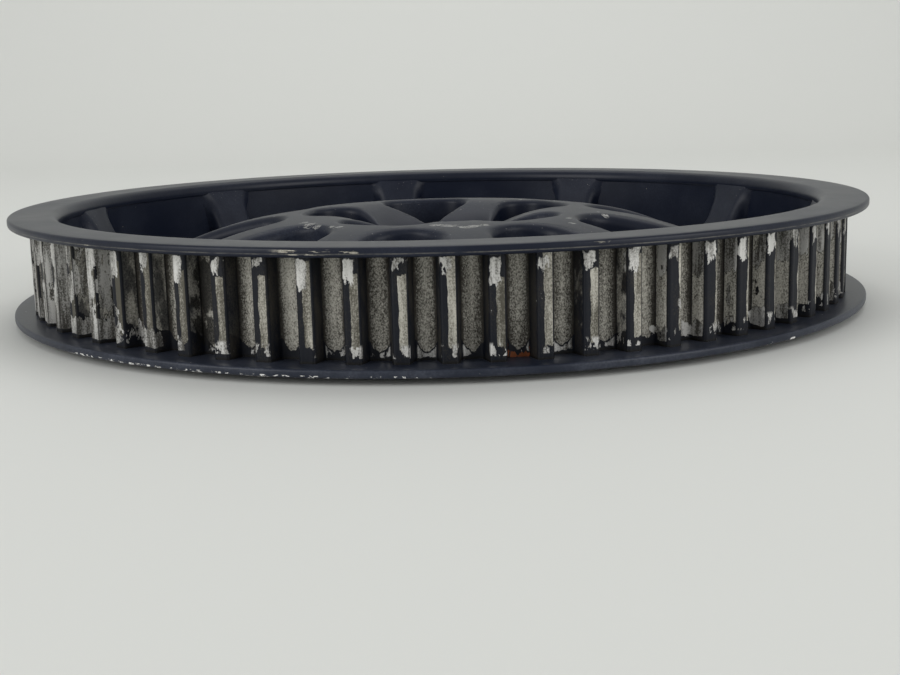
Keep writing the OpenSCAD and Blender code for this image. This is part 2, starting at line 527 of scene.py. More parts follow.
@dataclass
class Web:
    """Dished web: hub, bolt pockets, arms, crest and the spokes that sweep up the rim."""

    sizes: Sizes
    arms: int = 5
    crest_r: float = 47.0
    crest_z: float = 33.7
    dome_arc_r: float = 145.0
    valley_arc_r: float = 15.0
    riser_deg: float = 63.0
    spoke_w: float = 19.0
    spoke_t: float = 9.0
    spoke_edge_r: float = 4.0
    spoke_under_r: float = 1.5
    # The spokes' top edge loses this much of its radius on the way up the wall
    spoke_edge_loss: float = 1.0
    # Widening of a spoke where it meets the wall, and how far its top and its back run into the rim
    wall_root_r: float = 6.0
    into_wall: float = 0.75
    behind_wall: float = 3.0
    window_in_r: float = 60.5
    window_edge_r: float = 2.2
    window_under_r: float = 0.3
    bore_r: float = 15.0
    boss_r: float = 21.0
    boss_z: float = 26.0
    boss_edge_r: float = 0.8
    boss_foot: float = 0.5
    bolt_circle_r: float = 41.25
    bolt_r: float = 5.75
    bolt_bevel: float = 0.6
    floor_t: float = 12.0
    pocket_out_r: float = 53.0
    pocket_in_r: float = 24.0
    pocket_corner_r: float = 10.0
    pocket_end_r: float = 5.0
    # Edge radius of a pocket at its outer side, along the arms, and round its inner end
    pocket_edge_r: float = 2.0
    arm_edge_r: float = 3.0
    pocket_end_edge_r: float = 1.4
    pocket_foot_r: float = 2.0
    arm_w: float = 18.0
    arm_arc_r: float = 40.0
    hub_r: float = 59.5
    chamfer: float = 1.0
    # Points that carry the crest's curve: outermost radius, spacing outwards and around, and how
    # far they keep from every edge
    crest_out_r: float = 70.0
    crest_step: float = 1.8
    crest_gap: float = 2.2
    crest_clear: float = 0.8
    # Numbers of points round a bolt hole, the bore and boss, and the drum
    bolt_points: int = 36
    boss_points: int = 60
    hub_points: int = 120

    def __post_init__(self) -> None:
        """Work out the arcs' centres."""
        s = self.sizes
        self.dome_z = self.crest_z - self.dome_arc_r
        self.arm_z = self.crest_z - self.arm_arc_r
        # The valley's arc touches the dome's arc and the leaning end: its centre slides along the lean
        c, t = math.cos(math.radians(self.riser_deg)), math.sin(math.radians(self.riser_deg))
        out = s.wall_r - self.valley_arc_r * t - self.crest_r
        rise = s.riser_top_z + self.valley_arc_r * c - self.dome_z
        along = out * c + rise * t
        spare = out**2 + rise**2 - (self.dome_arc_r + self.valley_arc_r) ** 2
        slide = math.sqrt(along**2 - spare) - along
        self.valley_r = self.crest_r + out + slide * c
        self.valley_z = self.dome_z + rise + slide * t
        self.meet_deg = math.degrees(math.atan2(rise + slide * t, out + slide * c))
        # Half the angle from one spoke to the next
        self.half_deg = 90 / self.arms
        self.half = math.radians(self.half_deg)
        tip = self.spoke_w / 2 / math.sin(self.half)
        self.end_r = (self.window_in_r - tip) * math.sin(self.half) / (1 - math.sin(self.half))
        self.end_x = self.window_in_r + self.end_r
        self.start_u = self.end_x * math.cos(self.half)

    def height(self, plan: np.ndarray) -> np.ndarray:
        """Height of the dished top over plan points.

        Args:
            plan: points in plan.

        Returns:
            One height for each point.
        """
        r = np.hypot(plan[:, 0], plan[:, 1])
        inner = self.arm_z + np.sqrt(np.maximum(self.arm_arc_r**2 - (r - self.crest_r) ** 2, 1.0))
        outer = self.dome_z + np.sqrt(self.dome_arc_r**2 - (r - self.crest_r) ** 2)
        return np.where(r < self.crest_r, inner, outer)

    def lowered(self, plan: np.ndarray, depth: np.ndarray, lean: np.ndarray) -> np.ndarray:
        """Points below the dished top.

        Args:
            plan: points in plan.
            depth: distance below the top for each point.
            lean: 1 where that distance is square to the dome, 0 where it is upright.

        Returns:
            Points in space.
        """
        r = np.hypot(plan[:, 0], plan[:, 1])
        tilt = lean * (r - self.crest_r) / self.dome_arc_r
        scale = (r - tilt * depth) / r
        drop = depth * np.sqrt(1 - tilt**2)
        return np.column_stack([plan * scale[:, None], self.height(plan) - drop])

    def section(self, edge_r: float) -> tuple[np.ndarray, np.ndarray]:
        """Half of a spoke's section, from the middle of its top round to the middle of its underside.

        Args:
            edge_r: radius of the top edge.

        Returns:
            Distances from the spoke's middle, and depths below its top.
        """
        w, t, e, u = self.spoke_w / 2, self.spoke_t, edge_r, self.spoke_under_r
        across, deep = [0.0, (w - e) / 2], [0.0, 0.0]
        for k in range(8):
            a = math.radians(90 * k / 7)
            across.append(w - e + e * math.sin(a))
            deep.append(e * (1 - math.cos(a)))
        across += [w] * len(SIDE_SHARES)
        deep += [e + (t - u - e) * share for share in SIDE_SHARES]
        for k in range(4):
            a = math.radians(90 * k / 3)
            across.append(w - u + u * math.cos(a))
            deep.append(t - u + u * math.sin(a))
        across += [(w - u) / 2, 0.0]
        deep += [t, t]
        return np.array(across), np.array(deep)

    def whole(self, across: np.ndarray, deep: np.ndarray) -> tuple[np.ndarray, np.ndarray]:
        """Mirror half a section into a closed one."""
        return np.concatenate([across, -across[::-1][1:-1]]), np.concatenate([deep, deep[::-1][1:-1]])

    def add_spokes(self, pile: Pile) -> None:
        """Add the ten spokes, from the crest ring to the rim's inner wall.

        Args:
            pile: casting that gets them.
        """
        s = self.sizes
        v, d = self.whole(*self.section(self.spoke_edge_r))
        rows = []
        # Down the dome: the first row is straight across, and the last is an arc about the axis
        top_r = self.crest_r + self.dome_arc_r * math.cos(math.radians(self.meet_deg))
        steps = 14
        for k in range(steps + 1):
            u = self.start_u + (top_r - self.start_u) * k / steps
            share = min(1.0, k / 5)
            r = (1 - share) * np.hypot(u, v) + share * u
            plan = np.column_stack([np.sqrt(r**2 - v**2), v])
            rows.append(self.lowered(plan, d, np.ones(len(v))))
        # Through the valley, then up the leaning end and into the wall
        for deg in np.linspace(180 + self.meet_deg, 270 + self.riser_deg, 13)[1:]:
            c, t = math.cos(math.radians(deg)), math.sin(math.radians(deg))
            r0, z0 = self.valley_r + self.valley_arc_r * c, self.valley_z + self.valley_arc_r * t
            rows.append(np.column_stack([np.sqrt((r0 + c * d) ** 2 - v**2), v, z0 + t * d]))
        run = s.wall_r + self.into_wall - r0
        for k in range(1, 9):
            share = k / 8
            v, d = self.whole(*self.section(self.spoke_edge_r - self.spoke_edge_loss * share))
            r1, z1 = r0 + run * share, z0 + run * share * math.tan(math.radians(self.riser_deg))
            # The back of the section stops inside the rim, short of the grooves
            d = np.minimum(d, (s.wall_r + self.behind_wall - r1) / c)
            # A cast root widens the sides towards the wall
            off = np.clip((s.wall_r + s.panel_depth - (r1 + c * d)) / self.wall_root_r, 0.0, 1.0)
            wider = self.wall_root_r * share * (1 - np.sqrt(1 - (1 - off) ** 2))
            v = v + np.sign(v) * wider * (np.abs(v) > self.spoke_w / 4)
            rows.append(np.column_stack([np.sqrt((r1 + c * d) ** 2 - v**2), v, z1 + t * d]))
        for i in range(2 * self.arms):
            turn = s.first_bolt_deg + i * 180 / self.arms
            pile.grid([turned(row, turn) for row in rows], Finish.WEB.value, closed=True)

    def window_rows(self) -> tuple[np.ndarray, np.ndarray, np.ndarray, np.ndarray]:
        """Inner end of a window centred on X, from one spoke round to the next.

        Returns:
            Edge points, their directions into the metal, the edge radius at each, and how far each
            stands along from the end's middle, from 0 to 1.
        """
        start = 90 + self.half_deg
        angles = np.radians(np.linspace(start, 360 - start, 25))
        out = np.column_stack([np.cos(angles), np.sin(angles)])
        edge = np.array([self.end_x, 0.0]) + self.end_r * out
        away = np.abs(np.linspace(-1, 1, 25))
        blend = away**2 * (3 - 2 * away)
        return edge, out, self.window_edge_r + (self.spoke_edge_r - self.window_edge_r) * blend, away

    def pocket_rows(self) -> tuple[np.ndarray, np.ndarray, np.ndarray]:
        """Outline of a bolt pocket centred on X, anticlockwise.

        Returns:
            Edge points, their directions into the metal, and the edge radius at each.
        """
        out_r = self.pocket_out_r - self.pocket_corner_r
        corner = math.radians(180 / self.arms) - math.asin((self.pocket_corner_r + self.arm_w / 2) / out_r)
        small = np.array([self.pocket_in_r + self.pocket_end_r, 0.0])
        wide = out_r * np.array([math.cos(corner), math.sin(corner)])
        span = wide - small
        side = math.atan2(span[1], span[0]) + math.pi / 2
        side -= math.asin((self.pocket_end_r - self.pocket_corner_r) / float(np.hypot(*span)))
        outer_e, arm_e, end_e = self.pocket_edge_r, self.arm_edge_r, self.pocket_end_edge_r
        # Upper half: outer arc, corner, straight side along the arm, and small inner end
        half = []
        for a in np.linspace(0, corner * 0.86, 5)[:-1]:
            n = np.array([math.cos(a), math.sin(a)])
            half.append((self.pocket_out_r * n, n, outer_e))
        for a in np.linspace(corner, side, 11):
            n = np.array([math.cos(a), math.sin(a)])
            share = (a - corner) / (side - corner)
            half.append((wide + self.pocket_corner_r * n, n, outer_e + (arm_e - outer_e) * share))
        n = np.array([math.cos(side), math.sin(side)])
        for k in (1, 2, 3, 4):
            p = (wide + self.pocket_corner_r * n) * (1 - k / 5) + (small + self.pocket_end_r * n) * k / 5
            half.append((p, n, arm_e - (arm_e - end_e) * max(0.0, k - 2) / 3))
        for a in np.linspace(side, math.pi, 7):
            n = np.array([math.cos(a), math.sin(a)])
            share = (a - side) / (math.pi - side)
            half.append((small + self.pocket_end_r * n, n, end_e + 0.5 * (1 - share)))
        edge, out, size = (np.array(column) for column in zip(*half))
        mirror = slice(len(half) - 2, 0, -1)
        edge = np.vstack([edge, edge[mirror] * [1, -1]])
        out = np.vstack([out, out[mirror] * [1, -1]])
        return edge, out, np.concatenate([size, size[mirror]])

    def add_ring(self, pile: Pile) -> None:
        """Add the crest ring with the rounded ends of the windows, above and below.

        Args:
            pile: casting that gets them.
        """
        s = self.sizes
        edge, out, size, away = self.window_rows()
        under = self.window_under_r + (self.spoke_under_r - self.window_under_r) * away**2
        lean = away**3
        rows = []
        for k in range(8):
            a = math.radians(90 * k / 7)
            plan = edge + out * (size * (1 - math.sin(a)))[:, None]
            rows.append(self.lowered(plan, size * (1 - math.cos(a)), lean))
        for share in SIDE_SHARES:
            rows.append(self.lowered(edge, size + (self.spoke_t - under - size) * share, lean))
        for k in range(4):
            a = math.radians(90 * k / 3)
            plan = edge + out * (under * (1 - math.cos(a)))[:, None]
            rows.append(self.lowered(plan, self.spoke_t - under + under * np.sin(a), lean))
        half_v, _ = self.section(self.spoke_edge_r)
        across = half_v[half_v < self.spoke_w / 2 - self.spoke_edge_r - 1e-6]
        below = half_v[-2:-1]
        outer, outer_low = [], []
        for i in range(2 * self.arms):
            turn = s.first_bolt_deg + (i + 0.5) * 180 / self.arms
            pile.grid([turned(row, turn) for row in rows], Finish.WEB.value)
            # The window's arc runs clockwise round the ring here, so each is reversed for the outline
            outer.extend(turned((edge + out * size[:, None])[::-1], turn))
            spoke = s.first_bolt_deg + (i + 1) * 180 / self.arms
            flat = sorted({float(x) for x in np.concatenate([across, -across])})
            outer.extend(turned(np.array([(self.start_u, y) for y in flat]), spoke))
            outer_low.extend(turned(rows[-1][::-1, :2], turn))
            low = sorted({float(x) for x in np.concatenate([below, [0.0], -below])})
            line = np.array([(self.start_u, y) for y in low])
            start = self.lowered(line, np.full(len(low), self.spoke_t), np.ones(len(low)))
            outer_low.extend(turned(start[:, :2], spoke))
        pockets = []
        p_edge, p_out, p_size = self.pocket_rows()
        for i in range(self.arms):
            turn = s.first_bolt_deg + i * 360 / self.arms
            pockets.append(turned(p_edge + p_out * p_size[:, None], turn))
        outlines = [np.array(outer)] + pockets + [ring(self.boss_r + self.boss_foot, self.boss_points)]
        between = self.points_between(outlines)
        pile.flat(outlines[:1], outlines[1:], between, self.height, Finish.WEB.value)
        drum = ring(self.hub_r, self.hub_points)
        pile.flat([np.array(outer_low)], [drum], [], self.underside, Finish.WEB.value, down=True)

    def points_between(self, outlines: list) -> list:
        """Points that carry the curve of the crest between its outlines.

        Args:
            outlines: the crest's outer outline, then its holes, with the boss's last.

        Returns:
            Points in plan, inside the outer outline, outside the pockets and clear of every edge.
        """
        points = []
        for r in np.arange(self.pocket_in_r, self.crest_out_r, self.crest_step):
            points.extend(ring(r, int(2 * math.pi * r / self.crest_gap)))
        points = np.array(points)
        keep = inside(outlines[0], points)
        for pocket in outlines[1:-1]:
            keep &= ~inside(pocket, points)
        edges = np.vstack(outlines)
        return [p for p in points[keep] if np.min(np.hypot(*(edges - p).T)) > self.crest_clear]

    def underside(self, plan: np.ndarray) -> np.ndarray:
        """Height of the spokes' underside over plan points."""
        under, r = self.dome_arc_r - self.spoke_t, np.hypot(plan[:, 0], plan[:, 1])
        return self.dome_z + np.sqrt(under**2 - (r - self.crest_r) ** 2)

    def add_hub(self, pile: Pile) -> None:
        """Add the bolt pockets, the boss with its bore, the drum and the hub face.

        Args:
            pile: casting that gets them.
        """
        s, foot = self.sizes, self.pocket_foot_r
        edge, out, size = self.pocket_rows()
        holes = []
        for i in range(self.arms):
            turn = s.first_bolt_deg + i * 360 / self.arms
            rows = []
            for k in range(7):
                a = math.radians(90 * k / 6)
                plan = edge + out * (size * (1 - math.sin(a)))[:, None]
                top = self.height(plan) - size * (1 - math.cos(a))
                rows.append(np.column_stack([plan, top]))
            rows.append(np.column_stack([edge, (rows[-1][:, 2] + self.floor_t + foot) / 2]))
            for k in range(5):
                a = math.radians(90 * k / 4)
                plan = edge - out * foot * (1 - math.cos(a))
                level = np.full(len(edge), self.floor_t + foot * (1 - math.sin(a)))
                rows.append(np.column_stack([plan, level]))
            pile.grid([turned(row, turn) for row in rows], Finish.WEB.value, closed=True)
            middle = tuple(turned(np.array([[self.bolt_circle_r, 0.0]]), turn)[0])
            wide, bevel = self.bolt_r + self.bolt_bevel, self.bolt_bevel
            mouth = ring(wide, self.bolt_points, middle)
            pile.flat([turned(rows[-1][:, :2], turn)], [mouth], [], self.floor_t, Finish.WEB.value)
            path = [(wide, self.floor_t), (self.bolt_r, self.floor_t - bevel)]
            path += [(self.bolt_r, bevel), (wide, 0.0)]
            pile.grid(hoops(path, self.bolt_points, middle), Finish.WEB.value, closed=True)
            holes.append(mouth)
        foot_r, edge_r, mouth_r = self.boss_r + self.boss_foot, self.boss_edge_r, self.bore_r + self.chamfer
        base = float(self.height(np.array([[foot_r, 0.0]]))[0])
        path = [(foot_r, base), (self.boss_r, base + 0.4)]
        path += arc((self.boss_r - edge_r, self.boss_z - edge_r), edge_r, 0, 90, 3)
        path += [(mouth_r, self.boss_z), (self.bore_r, self.boss_z - self.chamfer)]
        path += [(self.bore_r, self.chamfer), (mouth_r, 0.0)]
        pile.grid(hoops(path, self.boss_points), Finish.WEB.value, closed=True)
        low = float(self.underside(np.array([[self.hub_r, 0.0]]))[0])
        drum = [(self.hub_r, low), (self.hub_r, self.chamfer), (self.hub_r - self.chamfer, 0.0)]
        pile.grid(hoops(drum, self.hub_points), Finish.WEB.value, closed=True)
        face = ring(self.hub_r - self.chamfer, self.hub_points)
        bore = ring(mouth_r, self.boss_points)
        pile.flat([face], [bore] + holes, [], 0.0, Finish.WEB.value, down=True)


@dataclass
class GuardRing:
    """Lower flange: a flat steel ring seated on the spigot, against the ends of the teeth."""

    sizes: Sizes
    edge_r: float = 0.7
    # Radii of the rings of points on its faces
    face_rings: tuple = (150.0, 158.0)

    def build(self, material: bpy.types.Material) -> bpy.types.Object:
        """Turn the ring and make its object.

        Args:
            material: the ring's finish.

        Returns:
            The new object.
        """
        s, e = self.sizes, self.edge_r
        bore = s.spigot_r + s.guard_clearance
        path = [(bore, s.teeth_z), (bore, s.guard_lift)] + [(r, s.guard_lift) for r in self.face_rings]
        path += arc((s.flange_r - e, s.guard_lift + e), e, 270, 360, 4)
        path += arc((s.flange_r - e, s.teeth_z - e), e, 0, 90, 4)
        path += [(r, s.teeth_z) for r in self.face_rings[::-1]] + [(bore, s.teeth_z)]
        pile = Pile("guard_ring_turned")
        pile.lathe(path, 0)
        return pile.build([material])


class Node(Enum):
    """Nodes the finishes are made of: type, settings, sockets that take values, and output."""

    PLACE = ("ShaderNodeTexCoord", {}, (), "Object")
    X = ("ShaderNodeSeparateXYZ", {}, (0,), 0)
    Y = ("ShaderNodeSeparateXYZ", {}, (0,), 1)
    Z = ("ShaderNodeSeparateXYZ", {}, (0,), 2)
    SCALED = ("ShaderNodeVectorMath", {"operation": "SCALE"}, (0, "Scale"), 0)
    MOVED = ("ShaderNodeVectorMath", {"operation": "ADD"}, (0, 1), 0)
    DRAWN_OUT = ("ShaderNodeVectorMath", {"operation": "MULTIPLY"}, (0, 1), 0)
    LENGTH = ("ShaderNodeVectorMath", {"operation": "LENGTH"}, (0,), "Value")
    ANGLE = ("ShaderNodeMath", {"operation": "ARCTAN2"}, (0, 1), 0)
    SUM = ("ShaderNodeMath", {"operation": "ADD"}, (0, 1), 0)
    DIFFERENCE = ("ShaderNodeMath", {"operation": "SUBTRACT"}, (0, 1), 0)
    PRODUCT = ("ShaderNodeMath", {"operation": "MULTIPLY"}, (0, 1), 0)
    RATIO = ("ShaderNodeMath", {"operation": "DIVIDE"}, (0, 1), 0)
    LARGER = ("ShaderNodeMath", {"operation": "MAXIMUM"}, (0, 1), 0)
    SIZE = ("ShaderNodeMath", {"operation": "ABSOLUTE"}, (0,), 0)
    WHOLE = ("ShaderNodeMath", {"operation": "ROUND"}, (0,), 0)
    # From start to end while the first value goes from low to high: value, low, high, start, end
    FADE = ("ShaderNodeMapRange", {"interpolation_type": "SMOOTHSTEP"}, (0, 1, 2, 3, 4), 0)
    # One colour over another: share, lower colour, upper colour
    LAYER = ("ShaderNodeMix", {"data_type": "RGBA"}, (0, 6, 7), 2)
    NOISE = ("ShaderNodeTexNoise", {}, ("Vector", "Scale", "Detail", "Roughness"), 0)
    LUCK = ("ShaderNodeTexWhiteNoise", {"noise_dimensions": "1D"}, ("W",), "Value")
    BUMP = ("ShaderNodeBump", {}, ("Strength", "Distance", "Height"), 0)


@dataclass(frozen=True)
class Value:
    """A number, colour or place in a node tree. Arithmetic on it adds nodes."""

    tree: bpy.types.NodeTree
    socket: bpy.types.NodeSocket

    def then(self, node: Node, *values: "Value | float | tuple") -> "Value":
        """Feed this value and further ones into a new node."""
        return add_node(self.tree, node, self, *values)

    def tint(self, low: float, high: float, dark: str, light: str) -> "Value":
        """Go from one colour to another while this value goes from low to high."""
        return self.then(Node.FADE, low, high).then(Node.LAYER, linear(dark), linear(light))

    def __add__(self, other: "Value | float") -> "Value":
        """Add another value."""
        return self.then(Node.SUM, other)

    def __radd__(self, other: float) -> "Value":
        """Be added to a number."""
        return self.then(Node.SUM, other)

    def __sub__(self, other: "Value | float") -> "Value":
        """Take another value away."""
        return self.then(Node.DIFFERENCE, other)

    def __rsub__(self, other: float) -> "Value":
        """Be taken away from a number."""
        return add_node(self.tree, Node.DIFFERENCE, other, self)

    def __mul__(self, other: "Value | float") -> "Value":
        """Multiply. The product of two marks is where both are set."""
        return self.then(Node.PRODUCT, other)

    def __truediv__(self, other: "Value | float") -> "Value":
        """Divide by another value."""
        return self.then(Node.RATIO, other)

    def __or__(self, other: "Value | float") -> "Value":
        """Take the larger value. Of two marks it is where either is set."""
        return self.then(Node.LARGER, other)

    def __abs__(self) -> "Value":
        """Drop the sign."""
        return self.then(Node.SIZE)

    def __round__(self, digits: None = None) -> "Value":
        """Go to the nearest whole number."""
        return self.then(Node.WHOLE)


def add_node(tree: bpy.types.NodeTree, node: Node, *values: "Value | float | tuple") -> Value:
    """Add one node with its settings and links.

    Args:
        tree: node tree that gets the node.
        node: which node, with its settings.
        values: what its sockets take, in the order that the kind names them.

    Returns:
        The node's output.
    """
    kind, settings, sockets, output = node.value
    made = tree.nodes.new(kind)
    for name, setting in settings.items():
        setattr(made, name, setting)
    for socket, value in zip(sockets, values):
        if isinstance(value, Value):
            tree.links.new(value.socket, made.inputs[socket])
        else:
            made.inputs[socket].default_value = value
    return Value(tree, made.outputs[output])


@dataclass
class Surface:
    """A material under construction, with the measures of the point that is shaded."""

    name: str
    # Dusty satin paint mirrors less than a clean coat
    shine: float = 0.24

    def __post_init__(self) -> None:
        """Start the node tree: position in millimetres, height, radius and bearing."""
        self.made = bpy.data.materials.new(self.name)
        self.made.use_nodes = True
        self.tree = self.made.node_tree
        self.tree.nodes["Principled BSDF"].inputs["Specular IOR Level"].default_value = self.shine
        self.mm = add_node(self.tree, Node.PLACE).then(Node.SCALED, 1000.0)
        self.z = self.mm.then(Node.Z)
        self.radius = self.mm.then(Node.DRAWN_OUT, (1.0, 1.0, 0.0)).then(Node.LENGTH)
        # Bearing in degrees: 0 faces -Y, and it grows towards +X
        self.bearing = self.mm.then(Node.X).then(Node.ANGLE, self.mm.then(Node.Y) * -1.0) * (180 / math.pi)

    def noise(
        self, size_mm: float, stretch: tuple = (1.0, 1.0, 1.0), detail: float = 4.0, shift: float = 0.0
    ) -> Value:
        """Noise whose patches are about a size in millimetres.

        Args:
            size_mm: size of a patch.
            stretch: factors on each axis, where less than 1 draws patches out along it.
            detail: number of finer layers.
            shift: moves the pattern, so that two of one size differ.

        Returns:
            Number about 0.5, mostly between 0.25 and 0.75.
        """
        place = self.mm.then(Node.MOVED, (shift, -shift, shift)).then(Node.DRAWN_OUT, stretch)
        return place.then(Node.NOISE, 1.0 / size_mm, detail, 0.6)

    def spots(self, places: tuple, ragged: Value) -> Value:
        """Mark of irregular spots at given places.

        Args:
            places: x, y, z and radius of each spot, in millimetres.
            ragged: noise that eats into the spots' edges.

        Returns:
            1 inside the spots, 0 outside.
        """
        nearness = []
        for x, y, z, size in places:
            apart = self.mm.then(Node.MOVED, (-x, -y, -z)).then(Node.LENGTH)
            nearness.append(1.0 - apart / size)
        nearest = nearness[0]
        for near in nearness[1:]:
            nearest = nearest | near
        lifted = nearest + (ragged - 0.5) * 3.0
        return lifted.then(Node.FADE, 0.25, 0.4) * nearest.then(Node.FADE, 0.0, 0.15)

    def finish(
        self, colour: Value, metallic: Value, roughness: Value, relief: Value, depth_mm: float
    ) -> bpy.types.Material:
        """Link the shader's inputs.

        Args:
            colour: base colour.
            metallic: share of bare metal.
            roughness: roughness.
            relief: height of the surface, from 0 to 1.
            depth_mm: what 1 of that height is in millimetres.

        Returns:
            The finished material.
        """
        shader = self.tree.nodes["Principled BSDF"]
        bump = add_node(self.tree, Node.BUMP, 1.0, depth_mm * MM, relief)
        sources = {"Base Color": colour, "Metallic": metallic, "Roughness": roughness, "Normal": bump}
        for name, source in sources.items():
            self.tree.links.new(source.socket, shader.inputs[name])
        return self.made


@dataclass(frozen=True)
class SatinBlackPaint:
    """Satin black paint sprayed on metal: near black with a navy cast, soft broad highlights."""

    name: str
    # Base colour of the paint, of the dust that greys it (on the guard ring also a painted reflection), and of the
    # bare metal in its chips (on the flange also of a painted highlight line)
    colour: str = "#0d1322"
    dusty: str = "#2b303c"
    bare: str = "#c9c8c6"
    bare_dark: str = "#7f7d79"
    roughness: float = 0.36
    rough_bare: float = 0.42
    metal_share: float = 0.7
    orange_peel_mm: float = 1.6

    def bare_marks(self, at: Surface) -> Value:
        """Where the paint is knocked off: nowhere but for a few specks."""
        return self.specks(at)

    def specks(self, at: Surface) -> Value:
        """Tiny pale specks, a few in each hundred square centimetres."""
        return at.noise(1.4, detail=1.0, shift=41.0).then(Node.FADE, 0.815, 0.83)

    def soiled(self, at: Surface, colour: Value) -> Value:
        """Colour with dirt over it: here there is none."""
        return colour

    def material(self) -> bpy.types.Material:
        """Make the material.

        Returns:
            Paint with dust (on the guard ring also a painted reflection), orange peel and its bare marks (on the
            flange also a painted highlight line).
        """
        at = Surface(self.name)
        marks = self.bare_marks(at)
        cloud = at.noise(26.0, detail=5.0, shift=7.0)
        grain = at.noise(0.7, detail=2.0, shift=3.0)
        # Thin dust in soft clouds lifts the black to a dark slate, as on a part from a shelf; on the guard ring the
        # paler clouds are also a painted reflection of the teeth
        dust_and_sheen_share = cloud.then(Node.FADE, 0.35, 0.75) * grain.then(Node.FADE, 0.3, 0.7, 0.35, 1.0) * 0.55
        colour = dust_and_sheen_share.then(Node.LAYER, linear(self.colour), linear(self.dusty))
        metal = grain.then(Node.FADE, 0.45, 0.75, 0.0, 0.7)
        metal = metal.then(Node.LAYER, linear(self.bare), linear(self.bare_dark))
        colour = self.soiled(at, marks.then(Node.LAYER, colour, metal))
        rough = cloud * 0.16 + (self.roughness - 0.08) + marks * (self.rough_bare - self.roughness)
        # Orange peel of the sprayed coat breaks the highlights up; chips lie a coat's thickness lower
        relief = at.noise(self.orange_peel_mm, detail=1.0) * 0.25 - marks * 0.8
        return at.finish(colour, marks * self.metal_share, rough, relief, 0.12)


@dataclass(frozen=True)
class FlangePaint(SatinBlackPaint):
    """Satin black paint on the cast rim, rubbed through in streaks along the flange's edge."""

    bare: str = "#a7a397"
    bare_dark: str = "#5b5850"
    # Bearing and width, in degrees, of the rubbed stretches of the edge, and how much is gone
    rubbed: tuple = (
        (-12.0, 5.5, 0.5), (15.5, 1.2, 0.45), (18.4, 1.6, 0.4), (-40.0, 3.0, 0.25),
        (120.0, 9.0, 0.35), (-148.0, 5.0, 0.4),
    )

    def bare_marks(self, at: Surface) -> Value:
        """Streaks along the edge, a fine painted highlight line round its middle, and specks everywhere.

        Args:
            at: surface that is painted.

        Returns:
            1 where bare metal shows, and up to a quarter along the painted highlight line.
        """
        edge = at.radius.then(Node.FADE, 160.9, 161.3)
        streak = at.noise(1.1, (0.16, 0.16, 1.0), 3.0, 19.0)
        band = edge * at.z.then(Node.FADE, 36.9, 37.2) * at.z.then(Node.FADE, 38.4, 38.7, 1.0, 0.0)
        marks = self.specks(at)
        for bearing, width, gone in self.rubbed:
            here = abs(at.bearing - bearing).then(Node.FADE, width * 0.6, width, 1.0, 0.0)
            marks = marks | band * here * streak.then(Node.FADE, 0.66 - 0.2 * gone, 0.7 - 0.2 * gone)
        # A faint pale line round the middle of the edge is a painted highlight, drawn at a quarter share in the bare
        # metal colour
        line = abs(at.z - 37.3).then(Node.FADE, 0.1, 0.22, 0.25, 0.0)
        return marks | edge * line * streak.then(Node.FADE, 0.3, 0.6)


@dataclass(frozen=True)
class WebPaint(SatinBlackPaint):
    """Satin black paint on sand-cast aluminium, scuffed to bare metal along the crest."""

    dusty: str = "#353a46"
    bare: str = "#aeada9"
    bare_dark: str = "#5d5c59"
    roughness: float = 0.42
    orange_peel_mm: float = 1.1
    # x, y, z and radius of the scuffs
    scuffs: tuple = (
        (-1.0, -54.0, 33.5, 3.0), (3.5, -56.5, 33.3, 3.6), (12.0, -57.5, 33.2, 3.6),
        (9.0, -59.5, 33.0, 2.8), (16.0, -56.0, 33.2, 2.4), (-36.3, -48.2, 33.1, 2.2),
        (-39.0, -46.0, 33.2, 1.7), (-47.5, -36.0, 33.2, 3.2), (-45.0, -40.0, 33.2, 2.4),
        (-50.0, -31.0, 33.2, 2.4), (47.7, -37.4, 33.1, 1.8), (48.1, -47.3, 32.2, 1.9),
        (63.5, -19.7, 32.4, 1.9), (61.0, -15.0, 32.8, 1.3), (-22.6, -35.5, 32.0, 1.9),
        (-20.0, 46.0, 33.7, 2.4), (35.0, 38.0, 33.6, 2.0),
    )
    dirt: str = "#07080b"
    # x, y, z and radius of the dark dents
    dents: tuple = ((51.6, -31.3, 33.1, 1.6), (62.5, -28.0, 32.1, 1.5), (1.0, -62.0, 33.0, 1.3))

    def bare_marks(self, at: Surface) -> Value:
        """Scratchy scuffs at their places, and specks everywhere.

        Args:
            at: surface that is painted.

        Returns:
            1 where bare metal shows.
        """
        ragged = at.noise(1.3, (0.55, 1.0, 1.0), 5.0, 5.0)
        scratchy = at.noise(0.45, (0.4, 1.0, 1.0)).then(Node.FADE, 0.36, 0.55, 0.0, 0.8)
        scuffed = at.spots(self.scuffs, ragged) * scratchy
        # Fine scratches from handling cross the raised parts
        scratch = at.noise(0.8, (0.12, 1.0, 1.0), 2.0, 53.0) | at.noise(0.8, (1.0, 0.12, 1.0), 2.0, 59.0)
        raised = at.z.then(Node.FADE, 29.0, 32.0)
        return self.specks(at) | scuffed | scratch.then(Node.FADE, 0.7, 0.74, 0.0, 0.3) * raised

    def soiled(self, at: Surface, colour: Value) -> Value:
        """Colour with dirt in small dents."""
        dents = at.spots(self.dents, at.noise(1.0, shift=3.0)) * 0.8
        return dents.then(Node.LAYER, colour, linear(self.dirt))


